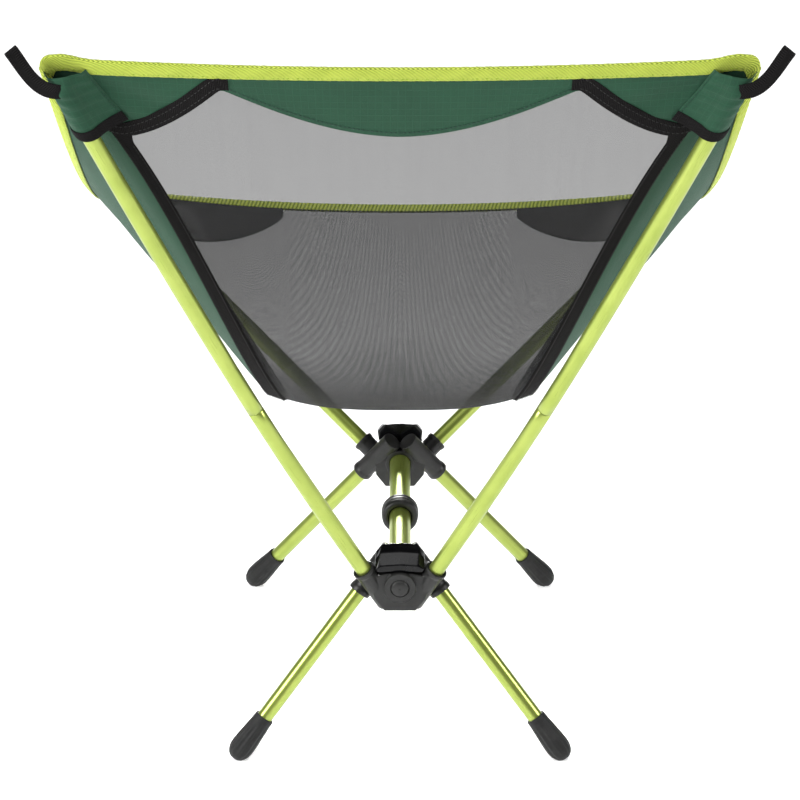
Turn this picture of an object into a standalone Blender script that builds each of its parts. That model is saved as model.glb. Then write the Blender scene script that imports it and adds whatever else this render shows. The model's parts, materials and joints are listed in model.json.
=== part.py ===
"""An ultralight camp chair: two moulded hubs on a ridge tube, plug-in poles on elastic cord, and a hung sling.

+Z is up and the front of the chair faces -Y. The origin is on the floor under the middle of the chair.
Every length is in metres. Left and right are the sitter's, so left is +X.
"""

import math

import bmesh
import bpy
from mathutils import Matrix, Vector

# Poles
POLE_RADIUS = 0.0065
POLE_BORE = 0.0056
SOCKET_BORE = 0.0068
CORD_RADIUS = 0.0012
PLUG_RADIUS = 0.0068
GAP = 0.0003
SEAT_GAP = 0.0004
CORD_GAP = 0.0010

# Hubs: pole sockets lie in an outer layer, leg sockets in an inner one
HUB_Y = 0.118
HUB_Z = 0.151
LAYER = 0.0078
SOCKET_RADIUS = 0.0087
RIM_RADIUS = 0.0094
SEAT_RISE = {1: -0.0180, -1: -0.0099}
MOUTH_RISE = {1: 0.0140, -1: 0.0088}
LEG_SEAT = 0.017
LEG_MOUTH = 0.0150
FLOOR_THICKNESS = 0.0035
SOCKET_PROFILE = ((0.0, SOCKET_RADIUS), (0.88, SOCKET_RADIUS), (0.92, RIM_RADIUS), (1.0, RIM_RADIUS))
PLATE = ((0.0130, -0.0235), (0.0215, -0.0120), (0.0230, 0.0080), (0.0100, 0.0110))
PLATE_INSET = 0.0015
BARREL_RADIUS = 0.0128
BARREL_STEP = 0.0030
CROWN_SECTIONS = (
    (LAYER + 0.0077, ((0.0150, 0.0138), (0.0160, 0.0165), (0.0120, 0.0190))),
    (LAYER + 0.0010, ((0.0150, 0.0138), (0.0165, 0.0210), (0.0130, 0.0265))),
    (-0.0012, ((0.0150, 0.0138), (0.0160, 0.0240), (0.0115, 0.0300))),
)
CROWN_RIDGE = 0.0010
PIN_SHANK = 0.0030
PIN_PROFILE = ((GAP, 0.0134), (0.0033, 0.0134), (0.0033, 0.0070), (0.0043, 0.0070), (0.0048, 0.0055))

# Ridge tube
RIDGE_RADIUS = 0.0091
RIDGE_BORE = 0.0080
RIDGE_SOCKET = 0.0094
COLLAR_RADIUS = 0.0160
COLLAR_LENGTH = 0.016
RIDGE_FERRULE_HALF = 0.030

# Cutters run this far past the face they open
PAST = 0.010

# Legs: run out and fall from the point where their axis is level with the hub
LEG_X = 0.0226
LEG_SLOPE = (0.7775, 0.3137)
LEG_END = 0.0125
FOOT_PROFILE = ((0.0345, 0.0083), (0.0220, 0.0093), (0.0115, 0.0102), (0.0065, 0.0094), (0.0025, 0.0066))
FOOT_FLOOR = 2
CORD_END = 0.031

# Back poles: slopes per metre of rise, bowed inwards by the sling's pull
BACK_X = 0.0227
BACK_SLOPE = (0.5479, 0.2891)
BACK_RISE = 0.474
BACK_BOW = 0.0391
BACK_JOINT = 0.180
FERRULE_HALF = 0.028
FERRULE_WALL = 0.0013

# Front poles
FRONT_X = 0.0237
FRONT_SLOPE = (1.1787, 0.6273)
FRONT_RISE = 0.189

# Plugs: how far each ring of the cap is past the end of the pole's stated rise, and its radius
PLUG_PROFILE = ((-0.0140, POLE_BORE - GAP), (-0.0035, POLE_BORE - GAP), (-0.0032, PLUG_RADIUS),
                (-0.0005, PLUG_RADIUS), (0.0010, PLUG_RADIUS - 0.0022))
POLE_END = 0.0040
SMALL_STEP = 0.001
TURNED_SIDES = 24
CORD_STOP = 0.0180

# The chair's middle lies behind the middle of its ridge, so every piece moves forward by this much
MIDDLE_Y = 0.00792

# Sling: its top and front edges, the profile down its middle and its side edge, as Bezier control points
PROFILE = ((0.0, 0.252, 0.638), (0.0, 0.168, 0.300), (0.0, 0.050, 0.150), (0.0, -0.243, 0.343))
SIDE = ((0.2625, 0.2575, 0.648), (0.2380, 0.236, 0.545), (0.2550, 0.050, 0.466), (0.2710, -0.250, 0.356))
FABRIC = 0.0012
BINDING = 0.0030
WEBBING = 0.0018


def clear_scene():
    for old in list(bpy.data.objects):
        bpy.data.objects.remove(old, do_unlink=True)


def material(name, colour, roughness, metallic=0.0):
    made = bpy.data.materials.new(name)
    made.use_nodes = True
    shader = made.node_tree.nodes["Principled BSDF"]
    shader.inputs["Base Color"].default_value = (*colour, 1.0)
    shader.inputs["Roughness"].default_value = roughness
    shader.inputs["Metallic"].default_value = metallic
    return made


clear_scene()
LIME = material("lime_anodised_aluminium", (0.42, 0.58, 0.08), 0.3, 1.0)
BLACK = material("black_nylon", (0.035, 0.035, 0.036), 0.5)
GLOSSY = material("glossy_black_nylon", (0.02, 0.02, 0.022), 0.25)
RUBBER = material("black_rubber", (0.03, 0.03, 0.031), 0.7)
GREEN = material("green_polyester", (0.02, 0.13, 0.08), 0.75)
MESH = material("grey_mesh", (0.22, 0.22, 0.23), 0.8)
TAPE = material("black_webbing", (0.02, 0.02, 0.02), 0.8)
EDGING = material("lime_binding", (0.50, 0.75, 0.03), 0.8)
ELASTIC = material("elastic_cord", (0.05, 0.05, 0.05), 0.8)


def add_object(name, shape, look, smooth=True):
    """Turns a bmesh in world coordinates into a named object with one material."""
    bmesh.ops.recalc_face_normals(shape, faces=shape.faces)
    mesh = bpy.data.meshes.new(name)
    shape.to_mesh(mesh)
    shape.free()
    mesh.materials.append(look)
    if smooth:
        mesh.shade_smooth()
        mesh.set_sharp_from_angle(angle=math.radians(35))
    made = bpy.data.objects.new(name, mesh)
    bpy.context.scene.collection.objects.link(made)
    return made


def put_origin(piece, place):
    """Moves the object's origin to its joint's axis and leaves its shape where it is."""
    piece.data.transform(Matrix.Translation(-place))
    piece.location = place


def between(low, high, count):
    return [low + (high - low) * k / count for k in range(count + 1)]


def rings_between(shape, first, second):
    count = len(first)
    for k in range(count):
        after = (k + 1) % count
        shape.faces.new((first[k], first[after], second[after], second[k]))


def frame_along(path, index):
    """Tangent and two unit normals of a path; the second normal leans as close to +X as it can."""
    before = path[max(index - 1, 0)]
    after = path[min(index + 1, len(path) - 1)]
    tangent = (after - before).normalized()
    side = (Vector((1, 0, 0)) - tangent * tangent.x).normalized()
    return tangent, tangent.cross(side), side


def ring_at(shape, path, index, radius, sides):
    _, up, side = frame_along(path, index)
    angles = [2 * math.pi * k / sides for k in range(sides)]
    return [shape.verts.new(path[index] + (side * math.cos(a) + up * math.sin(a)) * radius) for a in angles]


def tube(name, path, outer, inner, look, sides=20):
    """A hollow tube along a path, open at both ends."""
    shape = bmesh.new()
    outside = [ring_at(shape, path, k, outer, sides) for k in range(len(path))]
    inside = [ring_at(shape, path, k, inner, sides) for k in range(len(path))]
    for wall in (outside, inside):
        for first, second in zip(wall, wall[1:]):
            rings_between(shape, first, second)
    rings_between(shape, outside[0], inside[0])
    rings_between(shape, outside[-1], inside[-1])
    return add_object(name, shape, look)


def rod(name, path, radii, look, sides=16):
    """A solid turned piece along a path, with one radius for each of its points."""
    shape = bmesh.new()
    rings = [ring_at(shape, path, k, radii[k], sides) for k in range(len(path))]
    for first, second in zip(rings, rings[1:]):
        rings_between(shape, first, second)
    shape.faces.new(rings[0])
    shape.faces.new(rings[-1])
    return add_object(name, shape, look)


def cup(name, path, outer, inner, floor, look, sides=20):
    """A piece with a blind bore from the path's first point to its point number floor."""
    shape = bmesh.new()
    outside = [ring_at(shape, path, k, outer[k], sides) for k in range(len(path))]
    inside = [ring_at(shape, path, k, inner, sides) for k in range(floor + 1)]
    for wall in (outside, inside):
        for first, second in zip(wall, wall[1:]):
            rings_between(shape, first, second)
    rings_between(shape, outside[0], inside[0])
    shape.faces.new(outside[-1])
    shape.faces.new(inside[-1])
    return add_object(name, shape, look)


def leg_point(end, side, fall):
    """A point on a leg's axis; end is +1 at the rear, side is +1 on the left."""
    return Vector((
        side * (LEG_X + LEG_SLOPE[0] * fall),
        end * (HUB_Y - LAYER + LEG_SLOPE[1] * fall),
        HUB_Z - fall,
    ))


def back_line(side, rise):
    """A point on the straight line that a back pole leaves its socket along."""
    return Vector((
        side * (BACK_X + BACK_SLOPE[0] * rise),
        HUB_Y + LAYER + BACK_SLOPE[1] * rise,
        HUB_Z + rise,
    ))


def back_point(side, rise):
    """A point on a back pole's axis, which bends like a cantilever loaded at its tip."""
    share = max(0, rise) / BACK_RISE
    return back_line(side, rise) - Vector((side * BACK_BOW * (3 * share**2 - share**3) / 2, 0, 0))


def front_point(side, rise):
    return Vector((
        side * (FRONT_X + FRONT_SLOPE[0] * rise),
        -(HUB_Y + LAYER + FRONT_SLOPE[1] * rise),
        HUB_Z + rise,
    ))


SIDES = (("left", 1), ("right", -1))
ENDS = (("rear", 1), ("front", -1))


# ---- hubs ----


def turned_shape(start, end, profile, sides=20):
    """A closed turned shape from start to end, with a profile of (share of the length, radius) points."""
    shape = bmesh.new()
    path = [start.lerp(end, share) for share, _ in profile]
    rings = []
    for index, (share, radius) in enumerate(profile):
        line = [start, path[index], end] if 0 < share < 1 else [start, end]
        rings.append(ring_at(shape, line, line.index(path[index]), radius, sides))
    for first, second in zip(rings, rings[1:]):
        rings_between(shape, first, second)
    shape.faces.new(rings[0])
    shape.faces.new(rings[-1])
    bmesh.ops.recalc_face_normals(shape, faces=shape.faces)
    return shape


def cylinder_shape(start, end, radius, sides=20):
    return turned_shape(start, end, ((0, radius), (1, radius)), sides)


def prism_shape(outline, near, far):
    """An outline of (x, z) points extruded along Y from near to far."""
    shape = bmesh.new()
    first = [shape.verts.new((x, near, z)) for x, z in outline]
    second = [shape.verts.new((x, far, z)) for x, z in outline]
    rings_between(shape, first, second)
    shape.faces.new(first)
    shape.faces.new(second)
    bmesh.ops.recalc_face_normals(shape, faces=shape.faces)
    return shape


def combine(base, added, cut):
    """Adds the first shapes to a moulding and cuts the others from it, with two exact Booleans."""
    for operation, shapes in (("UNION", added), ("DIFFERENCE", cut)):
        group = bpy.data.collections.new(operation)
        bpy.context.scene.collection.children.link(group)
        for shape in shapes:
            mesh = bpy.data.meshes.new("helper")
            shape.to_mesh(mesh)
            shape.free()
            helper = bpy.data.objects.new("helper", mesh)
            helper.hide_render = True
            group.objects.link(helper)
        modifier = base.modifiers.new(operation, "BOOLEAN")
        modifier.operation = operation
        modifier.operand_type = "COLLECTION"
        modifier.collection = group
    graph = bpy.context.evaluated_depsgraph_get()
    result = bpy.data.meshes.new_from_object(base.evaluated_get(graph))
    for modifier in list(base.modifiers):
        group = modifier.collection
        base.modifiers.remove(modifier)
        for helper in list(group.objects):
            bpy.data.objects.remove(helper, do_unlink=True)
        bpy.data.collections.remove(group)
    look = base.data.materials[0]
    base.data = result
    result.materials.clear()
    result.materials.append(look)
    result.shade_smooth()
    result.set_sharp_from_angle(angle=math.radians(35))


def socket_line(end, side, rise):
    return back_line(side, rise) if end > 0 else front_point(side, rise)


def hub(end_name, end):
    """The moulding: a V of pole sockets outside, an upturned V of leg sockets inside, and the ridge socket."""
    outer = HUB_Y + LAYER + SOCKET_RADIUS
    inner = HUB_Y - LAYER - SOCKET_RADIUS
    plate = [(x, HUB_Z + z) for x, z in PLATE] + [(-x, HUB_Z + z) for x, z in reversed(PLATE)]
    block = prism_shape(plate, end * inner, end * (outer - PLATE_INSET))
    moulding = add_object(f"{end_name}_hub", block, BLACK)
    added = []
    cut = []
    seat = SEAT_RISE[end]
    mouth = MOUTH_RISE[end]
    for _, side in SIDES:
        low = socket_line(end, side, seat - FLOOR_THICKNESS)
        added.append(turned_shape(low, socket_line(end, side, mouth), SOCKET_PROFILE))
        bore = (socket_line(end, side, seat), socket_line(end, side, mouth + PAST))
        cut.append(cylinder_shape(*bore, SOCKET_BORE))
        top = leg_point(end, side, -LEG_SEAT - FLOOR_THICKNESS)
        added.append(turned_shape(top, leg_point(end, side, LEG_MOUTH), SOCKET_PROFILE))
        bore = (leg_point(end, side, -LEG_SEAT), leg_point(end, side, LEG_MOUTH + PAST))
        cut.append(cylinder_shape(*bore, SOCKET_BORE))
    added.append(cylinder_shape(*on_axis(end, (inner - BARREL_STEP, outer)), BARREL_RADIUS))
    cut.append(cylinder_shape(*on_axis(end, (inner - PAST, HUB_Y)), RIDGE_SOCKET))
    cut.append(cylinder_shape(*on_axis(end, (HUB_Y - SMALL_STEP, outer + PAST)), PIN_SHANK + GAP, 16))
    combine(moulding, added, cut)


def crown(end_name, end):
    """The rounded hood between the two pole sockets; its roof slopes down towards the hub's outer face."""
    shape = bmesh.new()
    rings = []
    for depth, half in CROWN_SECTIONS:
        ridge = (0.0, half[-1][1] + CROWN_RIDGE)
        outline = [*half, ridge, *((-x, z) for x, z in reversed(half))]
        rings.append([shape.verts.new((x, end * (HUB_Y + depth), HUB_Z + z)) for x, z in outline])
    for first, second in zip(rings, rings[1:]):
        rings_between(shape, first, second)
    shape.faces.new(rings[0])
    shape.faces.new(rings[-1])
    add_object(f"{end_name}_hub_crown", shape, GLOSSY)


def pin(end_name, end):
    """The flanged pin that holds the ridge tube: a shank in the hub, a broad flange and a raised cap on it."""
    face = HUB_Y + LAYER + SOCKET_RADIUS
    profile = [(HUB_Y + 0.0020, PIN_SHANK), (face + GAP, PIN_SHANK)]
    profile += [(face + out, radius) for out, radius in PIN_PROFILE]
    shape = bmesh.new()
    rings = [ring_at(shape, on_axis(end, (place, place + SMALL_STEP)), 0, radius, TURNED_SIDES) for place, radius in profile]
    for first, second in zip(rings, rings[1:]):
        rings_between(shape, first, second)
    shape.faces.new(rings[0])
    shape.faces.new(rings[-1])
    add_object(f"{end_name}_hub_pin", shape, BLACK)


def on_axis(end, distances):
    """Points on the ridge tube's axis, at distances from the middle of the chair."""
    return [Vector((0, end * distance, HUB_Z)) for distance in distances]


for end_name, end in ENDS:
    hub(end_name, end)
    crown(end_name, end)
    pin(end_name, end)
    tube(f"ridge_tube_{end_name}", on_axis(end, (GAP / 2, HUB_Y - 0.0005)), RIDGE_RADIUS, RIDGE_BORE, LIME)
ferrule_ends = on_axis(1, (-RIDGE_FERRULE_HALF, RIDGE_FERRULE_HALF))
collar_ends = on_axis(1, (-COLLAR_LENGTH / 2, COLLAR_LENGTH / 2))
tube("ridge_ferrule", ferrule_ends, RIDGE_BORE - GAP, RIDGE_BORE - GAP - FERRULE_WALL, LIME)
tube("ridge_collar", collar_ends, COLLAR_RADIUS, RIDGE_RADIUS + GAP, BLACK, 28)


# ---- legs ----


def foot(name, end, side):
    """A tapered rubber boot with a rounded end, cut flat where it stands on the floor."""
    path = [leg_point(end, side, HUB_Z - height) for height, _ in FOOT_PROFILE]
    radii = [radius for _, radius in FOOT_PROFILE]
    boot = cup(name, path, radii, POLE_RADIUS + GAP, FOOT_FLOOR, RUBBER, TURNED_SIDES)
    shape = bmesh.new()
    shape.from_mesh(boot.data)
    everything = [*shape.verts, *shape.edges, *shape.faces]
    floor = {"plane_co": (0, 0, 0), "plane_no": (0, 0, -1)}
    cut = bmesh.ops.bisect_plane(shape, geom=everything, clear_outer=True, **floor)
    rim = [piece for piece in cut["geom_cut"] if isinstance(piece, bmesh.types.BMEdge)]
    bmesh.ops.edgeloop_fill(shape, edges=rim)
    bmesh.ops.recalc_face_normals(shape, faces=shape.faces)
    shape.to_mesh(boot.data)
    shape.free()
    return boot


for end_name, end in ENDS:
    for side_name, side in SIDES:
        name = f"{end_name}_{side_name}"
        seat = leg_point(end, side, -LEG_SEAT + SEAT_GAP)
        leg = tube(f"leg_{name}", [seat, leg_point(end, side, HUB_Z - LEG_END)], POLE_RADIUS, POLE_BORE, LIME)
        put_origin(leg, seat)
        put_origin(foot(f"foot_{name}", end, side), seat)
        ends = [leg_point(end, side, -LEG_SEAT + CORD_GAP), leg_point(end, side, HUB_Z - CORD_END)]
        rod(f"leg_cord_{name}", ends, (CORD_RADIUS, CORD_RADIUS), ELASTIC, 8)


# ---- poles ----


def plug(name, point_at, side, rise):
    """The cap in a pole's upper end: a shank in the bore and a rounded head."""
    path = [point_at(side, rise + past) for past, _ in PLUG_PROFILE]
    return rod(name, path, [radius for _, radius in PLUG_PROFILE], BLACK)


def back_pole(side_name, side):
    """Two tubes on a ferrule, a plug in the upper end and the elastic cord through both."""
    bottom = SEAT_RISE[1] + SEAT_GAP
    lower_rises = [bottom, *between(0, BACK_JOINT, 5)]
    cord_rises = [SEAT_RISE[1] + CORD_GAP, *between(0, BACK_RISE - CORD_STOP, 7)]
    lower_path = [back_point(side, rise) for rise in lower_rises]
    upper_path = [back_point(side, rise) for rise in between(BACK_JOINT + GAP, BACK_RISE - POLE_END, 8)]
    ferrule_rises = between(BACK_JOINT - FERRULE_HALF, BACK_JOINT + FERRULE_HALF, 4)
    ferrule_path = [back_point(side, rise) for rise in ferrule_rises]
    cord_path = [back_point(side, rise) for rise in cord_rises]
    ferrule_radii = (POLE_BORE - GAP, POLE_BORE - GAP - FERRULE_WALL)
    lower = tube(f"back_pole_lower_{side_name}", lower_path, POLE_RADIUS, POLE_BORE, LIME)
    upper = tube(f"back_pole_upper_{side_name}", upper_path, POLE_RADIUS, POLE_BORE, LIME)
    ferrule = tube(f"back_pole_ferrule_{side_name}", ferrule_path, *ferrule_radii, LIME, 16)
    tip = plug(f"back_pole_plug_{side_name}", back_point, side, BACK_RISE)
    rod(f"back_pole_cord_{side_name}", cord_path, [CORD_RADIUS] * len(cord_path), ELASTIC, 8)
    for piece in (lower, ferrule):
        put_origin(piece, lower_path[0])
    for piece in (upper, tip):
        put_origin(piece, upper_path[0])


def front_pole(side_name, side):
    """One tube with a plug in its upper end and the elastic cord through it."""
    seat = front_point(side, SEAT_RISE[-1] + SEAT_GAP)
    pole_path = [seat, front_point(side, FRONT_RISE - POLE_END)]
    cord_path = [front_point(side, SEAT_RISE[-1] + CORD_GAP), front_point(side, FRONT_RISE - CORD_STOP)]
    pole = tube(f"front_pole_{side_name}", pole_path, POLE_RADIUS, POLE_BORE, LIME)
    tip = plug(f"front_pole_plug_{side_name}", front_point, side, FRONT_RISE)
    rod(f"front_pole_cord_{side_name}", cord_path, (CORD_RADIUS, CORD_RADIUS), ELASTIC, 8)
    put_origin(pole, seat)
    put_origin(tip, seat)


for side_name, side in SIDES:
    back_pole(side_name, side)
    front_pole(side_name, side)


# ---- sling ----
#
# The sling is one surface. Its place across is a, from 0 in the middle to 1 at a side edge; its place along
# is v, from 0 at the top edge to 1 at the front edge. The seams are lines of the same grid, so that
# neighbouring panels meet along the same points.

ARCH_END = 0.49
FRONT_PATCH_START = 0.378
MESH_EDGE = 0.50
TAPE_EDGE = 0.56
SIDE_EDGE = 0.97
SIDE_SHARE = 0.975
TOP_EDGE = 0.0118
FRONT_EDGE = 0.9905
WAIST = 0.60
WAIST_WIDTH = 0.40
TAPE_HALF_WIDTH = 0.029
CORNER_TAPE_WIDTH = 0.0165
SEAM_GAP = 0.0022
ROW_GAP = 0.0009
BACK_PATCH_GAP = 0.060
FRONT_PATCH_GAP = 0.008
EDGE_OVERHANG = 0.003
POCKET_BORE = 0.0071
POCKET_WIDTHS = (0.0200, 0.0195, 0.0180, 0.0150, 0.0120)
POCKET_DEPTHS = (0.0086, 0.0086, 0.0085, 0.0084, 0.0060)
POCKET_SHIFT = 0.0050
BACK_POCKET_RISES = (0.424, 0.440, 0.456, 0.4765, 0.4795)
FRONT_POCKET_RISES = (0.160, 0.169, 0.179, 0.1915, 0.1935)
LOOP_ROUTE = (
    (0.2455, 0.2736, 0.6258),
    (0.2590, 0.2704, 0.6300),
    (0.2700, 0.2690, 0.6400),
    (0.2785, 0.2690, 0.6555),
)
LOOP_WIDTH = 0.0105
LOOP_THICKNESS = 0.0030


def bezier(points, t):
    weights = ((1 - t) ** 3, 3 * (1 - t) ** 2 * t, 3 * (1 - t) * t**2, t**3)
    return sum((Vector(point) * weight for point, weight in zip(points, weights)), Vector())


def seam_at(v):
    """Where the long seam crosses, as a share of the sling's half-width."""
    if v < WAIST:
        return WAIST_WIDTH + 0.40 * min(1, (WAIST - v) / 0.485) ** 1.9
    return WAIST_WIDTH + 0.36 * min(1, (v - WAIST) / 0.30) ** 1.9


def share_across(a, v):
    """Turns the grid place a into a share of the half-width, so that a = 0.5 to 0.56 follows the seam tape."""
    seam = seam_at(v)
    tape = ((MESH_EDGE, seam - TAPE_HALF_WIDTH), (TAPE_EDGE, seam + TAPE_HALF_WIDTH))
    stops = ((0, 0), *tape, (SIDE_EDGE, SIDE_SHARE), (1, 1))
    for (a0, s0), (a1, s1) in zip(stops, stops[1:]):
        if a <= a1:
            return s0 + (s1 - s0) * (a - a0) / (a1 - a0)
    return a


def share_risen(a, v, power):
    """A curve over the seat and back, then a taut straight panel from the seam tape to the side edge."""
    start = seam_at(v) + TAPE_HALF_WIDTH
    if a <= start:
        return a**power
    return start**power + (1 - start**power) * (a - start) / (1 - start)


def surface(s, v):
    """A point of the sling at a signed share of the half-width."""
    middle = bezier(PROFILE, v)
    edge = bezier(SIDE, v)
    forward = share_risen(abs(s), v, 2.2)
    lift = share_risen(abs(s), v, 2.0 + math.sin(math.pi * min(1, max(0, v))))
    return Vector((s * edge.x, middle.y + (edge.y - middle.y) * forward, middle.z + (edge.z - middle.z) * lift))


def outward(s, v):
    step = 0.004
    along = surface(s, v + step) - surface(s, v - step)
    over = surface(s + step, v) - surface(s - step, v)
    return over.cross(along).normalized()


def top_of_mesh(s):
    """The lower edge of the arch panel, then the curved corner tape's lower edge."""
    if s < ARCH_END:
        return 0.058 - 0.034 * (s / ARCH_END) ** 1.8
    return 0.024 + 0.30 * max(0, s - 0.515) if s < 0.80 else 0.1095 + 0.12 * (s - 0.80)


def front_of_mesh(s):
    """The front binding in the middle, then the front corner patch's curved edge."""
    return FRONT_EDGE - 0.088 * min(1, max(0, s - FRONT_PATCH_START) / 0.382) ** 0.75


# Grid columns in one half: the arch panel ends at the sixth and the front corner patch starts at the fifth.
TOP_SHARE = (seam_at(0) - TAPE_HALF_WIDTH) / MESH_EDGE
FRONT_SHARE = (seam_at(1) - TAPE_HALF_WIDTH) / MESH_EDGE
PATCH_COLUMN = FRONT_PATCH_START / FRONT_SHARE
ARCH_COLUMN = ARCH_END / TOP_SHARE
MESH_COLUMNS = [*between(0, PATCH_COLUMN, 4), ARCH_COLUMN, *between(ARCH_COLUMN + 0.016, MESH_EDGE, 3)]
COLUMNS = [*MESH_COLUMNS, TAPE_EDGE, *between(TAPE_EDGE, SIDE_EDGE, 4)[1:], 1.0]


def along_columns(curve, level):
    """A seam that runs across, kept straight between the grid's columns, as the neighbouring panels are."""
    known = [curve(share_across(a, level)) for a in COLUMNS]

    def at(a):
        for (a0, v0), (a1, v1) in zip(zip(COLUMNS, known), zip(COLUMNS[1:], known[1:])):
            if a <= a1:
                return v0 + (v1 - v0) * (a - a0) / (a1 - a0)
        return known[-1]

    return at


TOP_SEAM = along_columns(top_of_mesh, 0.0)
FRONT_SEAM = along_columns(front_of_mesh, 1.0)


def tape_top(a):
    """The corner tape's upper edge, or the top of the side panel where there is no tape."""
    return max(TOP_EDGE + 2 * ROW_GAP, TOP_SEAM(a) - CORNER_TAPE_WIDTH) if a <= TAPE_EDGE else TOP_SEAM(a)


def body_rows(a):
    return between(TOP_SEAM(abs(a)) + ROW_GAP, FRONT_SEAM(abs(a)) - ROW_GAP, 12)


def arch_rows(a):
    return between(TOP_EDGE + ROW_GAP, TOP_SEAM(abs(a)) - ROW_GAP, 3)


def corner_tape_rows(a):
    return between(tape_top(a), TOP_SEAM(a) - ROW_GAP, 1)


def back_patch_rows(a):
    return between(TOP_EDGE + ROW_GAP, tape_top(a) - ROW_GAP, 4)


def front_patch_rows(a):
    return between(FRONT_SEAM(a) + ROW_GAP, FRONT_EDGE - ROW_GAP, 3)


def side_binding_rows(a):
    inner = SIDE_EDGE - SEAM_GAP
    return back_patch_rows(inner) + body_rows(inner) + front_patch_rows(inner)


def columns_from(low, high):
    """The grid's columns between two places, and the two places themselves."""
    return [low, *(a for a in COLUMNS if low + SMALL_STEP < a < high - SMALL_STEP), high]


def mirrored(columns):
    return [-a for a in reversed(columns) if a > 0] + columns


def grid_piece(name, columns, rows_at, thickness, look, side=1):
    """A curved panel over the grid, half its thickness to each side; rows_at gives a column's places along."""
    shape = bmesh.new()
    layers = []
    for sign in (1, -1):
        layer = []
        for a in columns:
            line = []
            for v in rows_at(a):
                s = math.copysign(share_across(abs(a), v), a) * side
                line.append(shape.verts.new(surface(s, v) + outward(s, v) * sign * thickness / 2))
            layer.append(line)
        layers.append(layer)
    wide = len(columns)
    tall = len(layers[0][0])
    for layer in layers:
        for i in range(wide - 1):
            for j in range(tall - 1):
                shape.faces.new((layer[i][j], layer[i + 1][j], layer[i + 1][j + 1], layer[i][j + 1]))
    loop = [(i, 0) for i in range(wide)] + [(wide - 1, j) for j in range(1, tall)]
    loop += [(i, tall - 1) for i in range(wide - 2, -1, -1)] + [(0, j) for j in range(tall - 2, 0, -1)]
    for (i, j), (k, m) in zip(loop, loop[1:] + loop[:1]):
        shape.faces.new((layers[0][i][j], layers[0][k][m], layers[1][k][m], layers[1][i][j]))
    return add_object(name, shape, look)


def pocket(name, path, flat, shift, look):
    """A flattened sleeve with a closed end over a pole's plug; flat is the direction it is thin in."""
    shape = bmesh.new()
    outside = []
    inside = []
    angles = [2 * math.pi * k / 20 for k in range(20)]
    for index, centre in enumerate(path):
        tangent, _, _ = frame_along(path, index)
        thin = (flat - tangent * flat.dot(tangent)).normalized()
        wide = thin.cross(tangent)
        width = POCKET_WIDTHS[index]
        depth = POCKET_DEPTHS[index]
        middle = centre + Vector((shift, 0, 0))
        ring = [middle + wide * (width * math.cos(a)) + thin * (depth * math.sin(a)) for a in angles]
        outside.append([shape.verts.new(point) for point in ring])
        if index < len(path) - 1:
            ring = [centre + (wide * math.cos(a) + thin * math.sin(a)) * POCKET_BORE for a in angles]
            inside.append([shape.verts.new(point) for point in ring])
    for wall in (outside, inside):
        for first, second in zip(wall, wall[1:]):
            rings_between(shape, first, second)
    rings_between(shape, outside[0], inside[0])
    shape.faces.new(outside[-1])
    shape.faces.new(inside[-1])
    return add_object(name, shape, look)


def strap(name, path, width, thickness, look):
    """A flat strap whose faces look along Y."""
    shape = bmesh.new()
    rings = []
    for index, centre in enumerate(path):
        tangent, _, _ = frame_along(path, index)
        across = tangent.cross(Vector((0, 1, 0))).normalized() * width / 2
        through = Vector((0, thickness / 2, 0))
        corners = (across + through, across - through, -across - through, -across + through)
        rings.append([shape.verts.new(centre + corner) for corner in corners])
    for first, second in zip(rings, rings[1:]):
        rings_between(shape, first, second)
    shape.faces.new(rings[0])
    shape.faces.new(rings[-1])
    return add_object(name, shape, look)


def top_binding_rows(a):
    return (-EDGE_OVERHANG, TOP_EDGE - ROW_GAP)


def front_binding_rows(a):
    return (FRONT_EDGE + ROW_GAP, 1 + EDGE_OVERHANG)


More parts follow.
